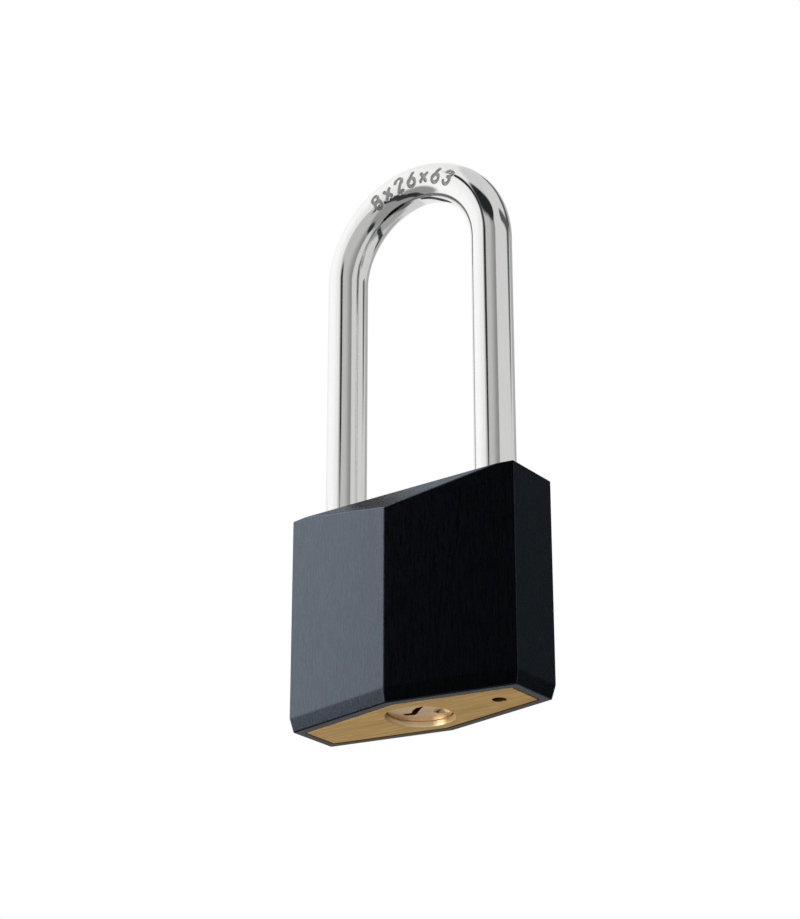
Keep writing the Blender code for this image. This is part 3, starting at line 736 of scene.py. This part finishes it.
roof = cover_high.z
body_tools = [
    lathe("plug_bore", plug_bore_profile, (0, 0, 0), steps=LARGE_BORE_STEPS),
    lathe("drain", drain_profile, heel_leg, steps=DRAIN_STEPS),
    straight("toe_bore", leg_bore, toe_bore_floor, roof, toe_leg, "Z", TURNED_STEPS),
    straight("heel_bore", leg_bore, BODY_BASE, roof, heel_leg, "Z", TURNED_STEPS),
    straight("ball_bore", ball_bore, -leg_x, leg_x, (0, 0, ball_height), "X", CROSS_BORE_STEPS),
    straight(
        "retaining_bore",
        retaining_bore,
        -half_middle,
        half_middle,
        retaining_line,
        "Y",
        PIN_BORE_STEPS,
    ),
]
body_tools += [
    straight("chamber", pin_bore, -half_width, 0, (0, 0, height), "X", CHAMBER_STEPS)
    for height in pin_heights
]
cut_away(brass_body, body_tools)
smooth_shading(brass_body)

BRUSHING_FINE_SHARE = 0.45
BRASS_CLOUDS = (90.0, 160.0, 90.0)
BRASS_CLOUD_SHADES = (0.93, 1.06)
BRUSHED_ROUGHNESS_STEP = 0.05
BRUSHED_RELIEF = 0.00005


def lock_brass(name, pale, deep, stretch, roughness, groove=0.5):
    """Brushed brass: streaks of light and dark metal along the brushing, and a fine groove bump."""
    material, tree, shader, place = new_material(name)
    brushing = grain(tree, place, stretch, BRUSHING_FINE_SHARE)
    clouds = grain(tree, place, BRASS_CLOUDS, 0.2)
    streaked = between_colours(tree, brushing["Mask"], deep, pale)
    shade = between(tree, clouds["Mask"], *BRASS_CLOUD_SHADES)
    rough = roughness + BRUSHED_ROUGHNESS_STEP
    smooth = roughness - BRUSHED_ROUGHNESS_STEP
    finish = {
        "Base Color": scaled(tree, streaked, shade),
        "Roughness": between(tree, brushing["Mask"], rough, smooth),
        "Normal": bump(tree, brushing["Height"], groove, BRUSHED_RELIEF),
        "Metallic": 1.0,
    }
    set_inputs(tree, shader, finish)
    return material


body_brass = lock_brass(
    "body_brass", (0.74, 0.445, 0.100), (0.50, 0.290, 0.052), (60.0, 1900.0, 1900.0), 0.38
)
brass_body.data.materials.append(body_brass)

# Painted light: the plug's mouth wall is paler brass, standing in for the light that falls on it.
MOUTH_PAINTED_LIGHT = (0.92, 0.80, 0.56)
MOUTH_PAINTED_LIGHT_SHARE = 0.85
# Painted shade: the brass inside the drain hole is darkened to this share, standing in for the
# shade in it.
DRAIN_PAINTED_SHADE = 0.16
TINT_FADE = 0.0001


def near_upright_axis(tree, x, radius):
    """Mask of the points within a radius of an upright axis that crosses the X axis at x."""
    place = add_node(tree, "TexCoord").outputs["Object"]
    level = vector_node(tree, "MULTIPLY", place, (1.0, 1.0, 0.0))
    away = vector_node(tree, "DISTANCE", level, (x, 0.0, 0.0))
    return soft_below(tree, away, radius, radius + TINT_FADE, "LINEAR")


def shader_of(material):
    """The material's Principled shader."""
    return next(node for node in material.node_tree.nodes if node.type == "BSDF_PRINCIPLED")


def paint_light_and_shade_in_holes(material):
    """Paints light and shade: the mouth's wall is paler, a painted highlight; the drain hole is
    darker, a painted shade.
    """
    tree = material.node_tree
    shader = shader_of(material)
    brushed = shader.inputs["Base Color"].links[0].from_socket
    # painted highlight: the brushed colour is paled towards the light colour within the mouth
    mouth = near_upright_axis(tree, 0.0, plug_bore + MOUTH_FLARE)
    painted_light_colour = between_colours(tree, MOUTH_PAINTED_LIGHT_SHARE, brushed, MOUTH_PAINTED_LIGHT)
    with_painted_light = between_colours(tree, mouth, brushed, painted_light_colour)
    # painted shade: the brushed colour is darkened inside the drain hole
    drain = near_upright_axis(tree, leg_x, DRAIN_RADIUS)
    painted_shade = scaled(tree, brushed, DRAIN_PAINTED_SHADE)
    set_inputs(tree, shader, {"Base Color": between_colours(tree, drain, with_painted_light, painted_shade)})


paint_light_and_shade_in_holes(body_brass)
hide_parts("lock_body")
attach(brass_body, "body")
lit_groups["brass"].objects.link(brass_body)

# Cylinder plug: turned from redder brass, with the keyway broached up it, a shallow round hollow
# beside the keyway, a groove for its retaining pin and a tang that drives the ball cam.
PLUG_CHAMFER = 0.00010
KEYWAY = [
    (-0.00350, -0.00045),
    (-0.00170, -0.00015),
    (-0.00070, -0.00125),
    (0.00075, -0.00210),
    (0.00230, -0.00210),
    (0.00115, -0.00120),
    (-0.00030, -0.00005),
    (-0.00105, 0.00070),
    (-0.00200, 0.00120),
    (-0.00350, 0.00050),
]
HOLLOW_RADIUS = 0.0015
HOLLOW_DEPTH = 0.00055
HOLLOW_FROM_AXIS = 0.0039
HOLLOW_ANGLE = 30.0
HOLLOW_RINGS = 24
HOLLOW_BELOW_FACE = -0.3
HOLLOW_POLE_GAP = 0.02
KEYWAY_PAST_FACE = 0.001
KEYWAY_PAST_LAST_PIN = 0.0018
PIN_HOLE_PAST_AXIS = 0.0003
GROOVE_BITE = 0.0010
TANG_THICKNESS = 0.0030
TANG_HEIGHT = 0.0028


def prism(name, outline, low, high):
    """An upright solid between two heights, its outline running anticlockwise."""
    outline = np.array(outline, float)
    count = len(outline)
    points = np.vstack([np.column_stack([outline, np.full(count, z)]) for z in (low, high)])
    faces = [tuple(face) for face in grid_faces(2, count)]
    faces += [tuple(reversed(range(count))), tuple(range(count, 2 * count))]
    return new_mesh(name, points, faces)


def block(name, low, high):
    """A rectangular solid between two corners."""
    corner = np.array([(x, y, z) for z in (0, 1) for y in (0, 1) for x in (0, 1)], float)
    points = np.array(low) + corner * (np.array(high) - np.array(low))
    faces = [(0, 2, 3, 1), (4, 5, 7, 6), (0, 1, 5, 4), (2, 6, 7, 3), (0, 4, 6, 2), (1, 3, 7, 5)]
    return new_mesh(name, points, faces)


groove_low = retaining_centre.z - retaining_bore
groove_high = retaining_centre.z + retaining_bore
plug_top = plug_shoulder
plug_profile = [
    (plug_radius - PLUG_CHAMFER, plug_low.z),
    (plug_radius, plug_low.z + PLUG_CHAMFER),
    (plug_radius, groove_low),
    (plug_radius - GROOVE_BITE, groove_low),
    (plug_radius - GROOVE_BITE, groove_high),
    (plug_radius, groove_high),
    (plug_radius, plug_top),
]
plug_mesh = lathe("cylinder_plug", plug_profile, (0, 0, 0), steps=LARGE_BORE_STEPS)
cylinder_plug = add_object("cylinder_plug", plug_mesh)
cad_plug_points = np.array([vertex.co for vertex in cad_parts["plug"].data.vertices])
at_tang_end = cad_plug_points[:, 2] > plug_high.z - 10 * ROUNDING
tang_half = cad_plug_points[at_tang_end, 0].max()
tang = block(
    "tang",
    (-tang_half, -TANG_THICKNESS / 2, plug_top - TANG_HEIGHT / 4),
    (tang_half, TANG_THICKNESS / 2, plug_high.z),
)
cut_away(cylinder_plug, [tang], join=True)
hollow_sphere = (HOLLOW_RADIUS**2 + HOLLOW_DEPTH**2) / (2 * HOLLOW_DEPTH)
hollow_turn = np.linspace(HOLLOW_BELOW_FACE, np.pi / 2 - HOLLOW_POLE_GAP, HOLLOW_RINGS)
hollow_profile = [
    (hollow_sphere * math.cos(a), hollow_sphere * (math.sin(a) - 1) + HOLLOW_DEPTH)
    for a in hollow_turn
]
hollow_place = (
    HOLLOW_FROM_AXIS * math.cos(math.radians(HOLLOW_ANGLE)),
    HOLLOW_FROM_AXIS * math.sin(math.radians(HOLLOW_ANGLE)),
    plug_low.z,
)
keyway_top = pin_heights[-1] + KEYWAY_PAST_LAST_PIN
past = PIN_HOLE_PAST_AXIS
plug_tools = [
    prism("keyway", KEYWAY, plug_low.z - KEYWAY_PAST_FACE, keyway_top),
    lathe("hollow", hollow_profile, hollow_place),
]
plug_tools += [
    straight("pin_hole", pin_bore, -half_width, past, (0, 0, height), "X", CHAMBER_STEPS)
    for height in pin_heights
]
cut_away(cylinder_plug, plug_tools)
smooth_shading(cylinder_plug)

plug_brass = lock_brass(
    "plug_brass",
    (0.71, 0.460, 0.235),
    (0.67, 0.430, 0.210),
    (500.0, 500.0, 60.0),
    0.24,
    groove=0.12,
)
cylinder_plug.data.materials.append(plug_brass)
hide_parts("plug")
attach(cylinder_plug, "plug")
lit_groups["brass"].objects.link(cylinder_plug)

# Shackle: one bent round bar of polished steel. The toe has a ball-shaped notch on its inner
# side; the heel is turned down so that it can rise and then swing, and ends in a collar.
# The bow is stamped with its sizes in millimetres, which stand below the polish.
TIP_CHAMFER = 0.0008
BALL_BITE = 0.0017
BALL_CLEARANCE = 0.0003
NECK_SPARE = 0.0010
COLLAR_HEIGHT = 0.0024
BAR_SHARP_ANGLE = 40.0

thrown_ball_x = leg_x - leg_radius + BALL_BITE - ball_radius
notch_radius = ball_radius + BALL_CLEARANCE
bow_height = shackle_high.z - leg_radius - leg_x
heel_tip = shackle_low.z
heel_waist = leg_radius - BALL_BITE + NECK_SPARE - BALL_CLEARANCE
collar_shoulder = heel_tip + COLLAR_HEIGHT
groove_depth_x = leg_x - thrown_ball_x
groove_full = ball_height + math.sqrt(notch_radius**2 - (groove_depth_x - leg_radius) ** 2)
groove_low_z = ball_height - math.sqrt(notch_radius**2 - (groove_depth_x - heel_waist) ** 2)


def smooth_step(value):
    """0 below 0 and 1 above 1, with an even ease between."""
    value = np.clip(value, 0.0, 1.0)
    return value * value * (3 - 2 * value)


# Stamped sizes: bar thickness, width and height between the legs. They start and end at angles
# along the bow, and their line shifts round the bar on the way. Each figure is drawn with strokes
# in a cell one unit high: a line is two points, an arc a centre, a radius and two angles.
STAMP_SIZES = "8x26x63"
STAMP_HEIGHT = 0.0029
STAMP_WIDTH = 0.0019
STAMP_START = 122.0
STAMP_END = 50.0
STAMP_AROUND_START = 107.0
STAMP_AROUND_END = 86.0
STAMP_DEPTH = 0.00020
STAMP_STROKE = 0.00024
STAMP_SLOPE = 0.00014
FIGURES = {
    "8": [("arc", 0.5, 0.75, 0.24, 0, 360), ("arc", 0.5, 0.27, 0.27, 0, 360)],
    "x": [("line", 0.15, 0.15, 0.85, 0.7), ("line", 0.15, 0.7, 0.85, 0.15)],
    "2": [
        ("arc", 0.5, 0.72, 0.28, -20, 170),
        ("line", 0.76, 0.62, 0.2, 0.0),
        ("line", 0.2, 0.0, 0.82, 0.0),
    ],
    "6": [("arc", 0.5, 0.29, 0.29, 0, 360), ("line", 0.24, 0.42, 0.62, 1.0)],
    "3": [("arc", 0.48, 0.76, 0.24, -90, 160), ("arc", 0.48, 0.26, 0.27, -160, 90)],
}


def scaled_stroke(stroke):
    """A stroke in metres; arcs stay round, sized by the figure's height."""
    if stroke[0] == "line":
        x0, y0, x1, y1 = stroke[1:]
        return ("line", x0 * STAMP_WIDTH, y0 * STAMP_HEIGHT, x1 * STAMP_WIDTH, y1 * STAMP_HEIGHT)
    cx, cy, radius, first, last = stroke[1:]
    return ("arc", cx * STAMP_WIDTH, cy * STAMP_HEIGHT, radius * STAMP_HEIGHT, first, last)


def stroke_distance(x, y, stroke):
    """How far points are from a stroke, in metres."""
    if stroke[0] == "line":
        x0, y0, x1, y1 = stroke[1:]
        run_x, run_y = x1 - x0, y1 - y0
        share = np.clip(((x - x0) * run_x + (y - y0) * run_y) / (run_x**2 + run_y**2), 0, 1)
        return np.hypot(x - x0 - share * run_x, y - y0 - share * run_y)
    cx, cy, radius, first, last = stroke[1:]
    middle = math.radians((first + last) / 2)
    half = math.radians((last - first) / 2)
    angle = (np.arctan2(y - cy, x - cx) - middle + np.pi) % (2 * np.pi) - np.pi
    angle = np.clip(angle, -half, half) + middle
    return np.hypot(x - cx - radius * np.cos(angle), y - cy - radius * np.sin(angle))


def stamp_share(bow_angle, around):
    """How fully the bar is stamped, 0 to 1, where bow_angle and around are in degrees on it."""
    share = (STAMP_START - bow_angle) / (STAMP_START - STAMP_END)
    length = math.radians(STAMP_START - STAMP_END) * leg_x
    line = STAMP_AROUND_START + (STAMP_AROUND_END - STAMP_AROUND_START) * share
    along = share * length
    up = np.radians(line - around) * leg_radius / STAMP_HEIGHT + 0.5
    pitch = length / len(STAMP_SIZES)
    nearest = np.full(np.broadcast(along, up).shape, 1.0)
    for number, figure in enumerate(STAMP_SIZES):
        x = (along - (number + 0.5) * pitch) / STAMP_WIDTH + 0.5
        for stroke in FIGURES[figure]:
            flat = stroke_distance(x * STAMP_WIDTH, up * STAMP_HEIGHT, scaled_stroke(stroke))
            nearest = np.minimum(nearest, flat)
    return smooth_step((STAMP_STROKE + STAMP_SLOPE - nearest) / STAMP_SLOPE)


# Rows along the bar and columns round it, closer together where the bar is notched or stamped;
# columns are angles from the outside of the bend, towards the front, in degrees.
NOTCH_ROWS = 60
TOE_ROWS = 16
BEND_ROWS = 44
STAMP_ROWS = 260
HEEL_ROWS = 18
NECK_ROWS = 28
STAMP_COLUMNS = 78
BAR_COLUMNS = 96
STAMP_COLUMNS_FROM = 58.0
STAMP_COLUMNS_TO = 134.0
LAST_COLUMN = 420.0
STAMP_MARGIN = 4.0
NOTCH_MARGIN = 0.0005
NECK_MARGIN = 0.0003
NECK_STEP = 0.001
SHOULDER_STEP = 0.00002
ROW_ROUNDING = 1e-9


def shackle_surface():
    """The bar as rows along it and columns round it: centre + radius * (outwards, front).

    Rows go up the toe leg, over the bow and down the heel leg. The radius is the bar's, less
    the chamfered tips, the toe's notch (where a line from the axis first meets the ball's
    sphere), the heel's turned neck and the stamping.
    """
    notch_top = ball_height + notch_radius + NOTCH_MARGIN
    toe_rows = np.concatenate(
        [
            [toe_tip, toe_tip + TIP_CHAMFER],
            np.linspace(toe_tip + TIP_CHAMFER, notch_top, NOTCH_ROWS)[1:],
            np.linspace(notch_top, bow_height, TOE_ROWS)[1:-1],
        ]
    )
    stamp_from, stamp_to = STAMP_END - STAMP_MARGIN, STAMP_START + STAMP_MARGIN
    bow_rows = np.concatenate(
        [
            np.linspace(180.0, stamp_to, BEND_ROWS)[:-1],
            np.linspace(stamp_to, stamp_from, STAMP_ROWS),
            np.linspace(stamp_from, 0.0, BEND_ROWS)[1:],
        ]
    )
    neck_rows = groove_full + (groove_low_z - groove_full) * np.linspace(0, 1, NECK_ROWS)
    heel_rows = np.concatenate(
        [
            np.linspace(bow_height, groove_full + NECK_MARGIN, HEEL_ROWS)[1:],
            neck_rows,
            [groove_low_z - NECK_STEP, collar_shoulder + SHOULDER_STEP, collar_shoulder],
            [heel_tip + TIP_CHAMFER, heel_tip],
        ]
    )
    heights = np.concatenate([toe_rows, np.full(len(bow_rows), bow_height), heel_rows])
    angles = np.concatenate([np.full(len(toe_rows), 180.0), bow_rows, np.zeros(len(heel_rows))])
    bend = np.radians(angles)
    radius = np.full(len(heights), leg_radius)
    radius[0] = leg_radius - TIP_CHAMFER
    radius[-1] = leg_radius - TIP_CHAMFER
    heel = np.arange(len(heights)) >= len(toe_rows) + len(bow_rows)
    depth = notch_radius**2 - (heights - ball_height) ** 2
    groove = groove_depth_x - np.sqrt(np.maximum(depth, 0.0))
    in_groove = heel & (heights <= groove_full) & (heights >= groove_low_z - ROW_ROUNDING)
    radius[in_groove] = np.minimum(leg_radius, groove[in_groove])
    below_groove = heel & (heights < groove_low_z - ROW_ROUNDING)
    in_neck = below_groove & (heights > collar_shoulder + ROUNDING)
    radius[in_neck] = heel_waist
    stamp_columns = np.linspace(STAMP_COLUMNS_FROM, STAMP_COLUMNS_TO, STAMP_COLUMNS)
    other_columns = np.linspace(STAMP_COLUMNS_TO, LAST_COLUMN, BAR_COLUMNS)[1:-1]
    columns = np.concatenate([stamp_columns, other_columns])
    turn = np.radians(columns)[None, :]
    out = np.stack([np.cos(bend), np.zeros(len(bend)), np.sin(bend)], -1)
    on_bow = np.sin(bend) > ROW_ROUNDING
    out[~on_bow, 2] = 0.0
    centre = out * leg_x
    centre[:, 2] += heights
    bar_radius = np.repeat(radius[:, None], len(columns), axis=1)
    # The toe's notch: the nearest meeting of a line from the axis with the ball's sphere
    ball = np.array((-thrown_ball_x, 0.0, ball_height))
    front = np.array((0.0, -1.0, 0.0))
    ray = np.cos(turn)[..., None] * out[:, None, :] + np.sin(turn)[..., None] * front
    away = centre[:, None, :] - ball
    half_b = np.sum(ray * away, axis=-1)
    rest = half_b**2 - (np.sum(away**2, axis=-1) - notch_radius**2)
    meeting = -half_b - np.sqrt(np.maximum(rest, 0.0))
    notched = (rest > 0) & (meeting > 0) & (centre[:, None, 0] < 0)
    bar_radius = np.where(notched, np.minimum(bar_radius, meeting), bar_radius)
    stamped = np.where(on_bow[:, None], stamp_share(angles[:, None], columns[None, :]), 0.0)
    bar_radius = bar_radius - STAMP_DEPTH * stamped
    points = centre[:, None, :] + bar_radius[..., None] * ray
    return points, stamped


bar_points, bar_stamped = shackle_surface()
bar_rows, bar_columns = bar_points.shape[:2]
bar_faces = [tuple(face) for face in grid_faces(bar_rows, bar_columns)]
bar_faces.append(tuple(reversed(range(bar_columns))))
bar_faces.append(tuple(range((bar_rows - 1) * bar_columns, bar_rows * bar_columns)))
shackle_bar = add_object("shackle_bar", new_mesh("shackle_bar", bar_points, bar_faces))
stamped_values = shackle_bar.data.attributes.new("stamped", "FLOAT", "POINT")
stamped_values.data.foreach_set("value", bar_stamped.ravel())
shackle_bar.data.shade_smooth()
shackle_bar.data.set_sharp_from_angle(angle=math.radians(BAR_SHARP_ANGLE))

POLISH_HAZE = (150.0, 150.0, 60.0)
POLISH_LINE_SHADE = 0.97
POLISH_CLEAR = 0.8
POLISH_HAZY = 1.3
POLISH_RELIEF = 0.00002
STAMP_SHADE = 0.42
STAMP_ROUGHNESS = 0.42


def polished_steel(name, colour, roughness, streaks):
    """Polished steel: fine polishing lines along the bar that blur and break its reflections."""
    material, tree, shader, place = new_material(name)
    lines = grain(tree, place, streaks, 0.5)
    haze = grain(tree, place, POLISH_HAZE, 0.3)
    low = tuple(POLISH_LINE_SHADE * channel for channel in colour)
    clear, hazy = roughness * POLISH_CLEAR, roughness * POLISH_HAZY
    finish = {
        "Base Color": between_colours(tree, lines["Mask"], low, colour),
        "Roughness": between(tree, haze["Mask"], clear, hazy),
        "Normal": bump(tree, lines["Height"], 0.10, POLISH_RELIEF),
        "Metallic": 1.0,
    }
    set_inputs(tree, shader, finish)
    return material


def dulled_where_stamped(material):
    """The floor of the stamping stays dark and rough, since the polishing wheel passes over it."""
    tree = material.node_tree
    shader = shader_of(material)
    stamped = add_node(tree, "Attribute", attribute_name="stamped").outputs["Fac"]
    colour = shader.inputs["Base Color"].links[0].from_socket
    roughness = shader.inputs["Roughness"].links[0].from_socket
    dulled = {
        "Base Color": between_colours(tree, stamped, colour, scaled(tree, colour, STAMP_SHADE)),
        "Roughness": between(tree, stamped, roughness, STAMP_ROUGHNESS),
    }
    set_inputs(tree, shader, dulled)


bar_steel = polished_steel("shackle_steel", (0.72, 0.72, 0.715), 0.07, (1400.0, 1400.0, 160.0))
dulled_where_stamped(bar_steel)
shackle_bar.data.materials.append(bar_steel)
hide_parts("shackle")
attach(shackle_bar, "shackle")
lit_groups["steel"].objects.link(shackle_bar)


# Works inside: the pins, springs, balls, cam, cap, chamber plugs and retaining pin keep their
# CAD shapes. The pins and the cap are plated brass with turning rings, the chamber plugs plain
# brass, the springs and the retaining pin drawn wire, the balls polished and the cam sintered.
PORE_RELIEF = 0.00003


def sintered_steel():
    """Grey sintered steel: pressed powder, with pores and a dull oiled sheen."""
    material, tree, shader, place = new_material("cam_steel")
    pores = grain(tree, place, (5200.0, 5200.0, 5200.0), 0.6)
    finish = {
        "Base Color": between_colours(tree, pores["Mask"], (0.36, 0.36, 0.37), (0.50, 0.50, 0.52)),
        "Roughness": between(tree, pores["Mask"], 0.55, 0.38),
        "Normal": bump(tree, pores["Height"], 0.4, PORE_RELIEF),
        "Metallic": 1.0,
    }
    set_inputs(tree, shader, finish)
    return material


pin_brass = lock_brass(
    "pin_brass", (0.70, 0.67, 0.56), (0.60, 0.56, 0.45), (4000.0, 90.0, 90.0), 0.28
)
spring_wire = polished_steel("spring_steel", (0.55, 0.55, 0.56), 0.28, (600.0, 600.0, 600.0))
ball_steel = polished_steel("ball_steel", (0.62, 0.62, 0.62), 0.08, (700.0, 700.0, 700.0))
works_finishes = {
    "key_pin": pin_brass,
    "driver_pin": pin_brass,
    "shackle_spring_cap": pin_brass,
    "chamber_plug": body_brass,
    "pin_spring": spring_wire,
    "shackle_spring": spring_wire,
    "plug_retaining_pin": spring_wire,
    "toe_ball": ball_steel,
    "heel_ball": ball_steel,
    "ball_cam": sintered_steel(),
}
for node_name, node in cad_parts.items():
    if node.hide_render:
        continue
    kinds = [kind for kind in works_finishes if node_name.startswith(kind)]
    finish = works_finishes[max(kinds, key=len)]
    node.data.materials.clear()
    node.data.materials.append(finish)
    is_steel = finish in (spring_wire, ball_steel)
    lit_groups["steel" if is_steel else "brass"].objects.link(node)
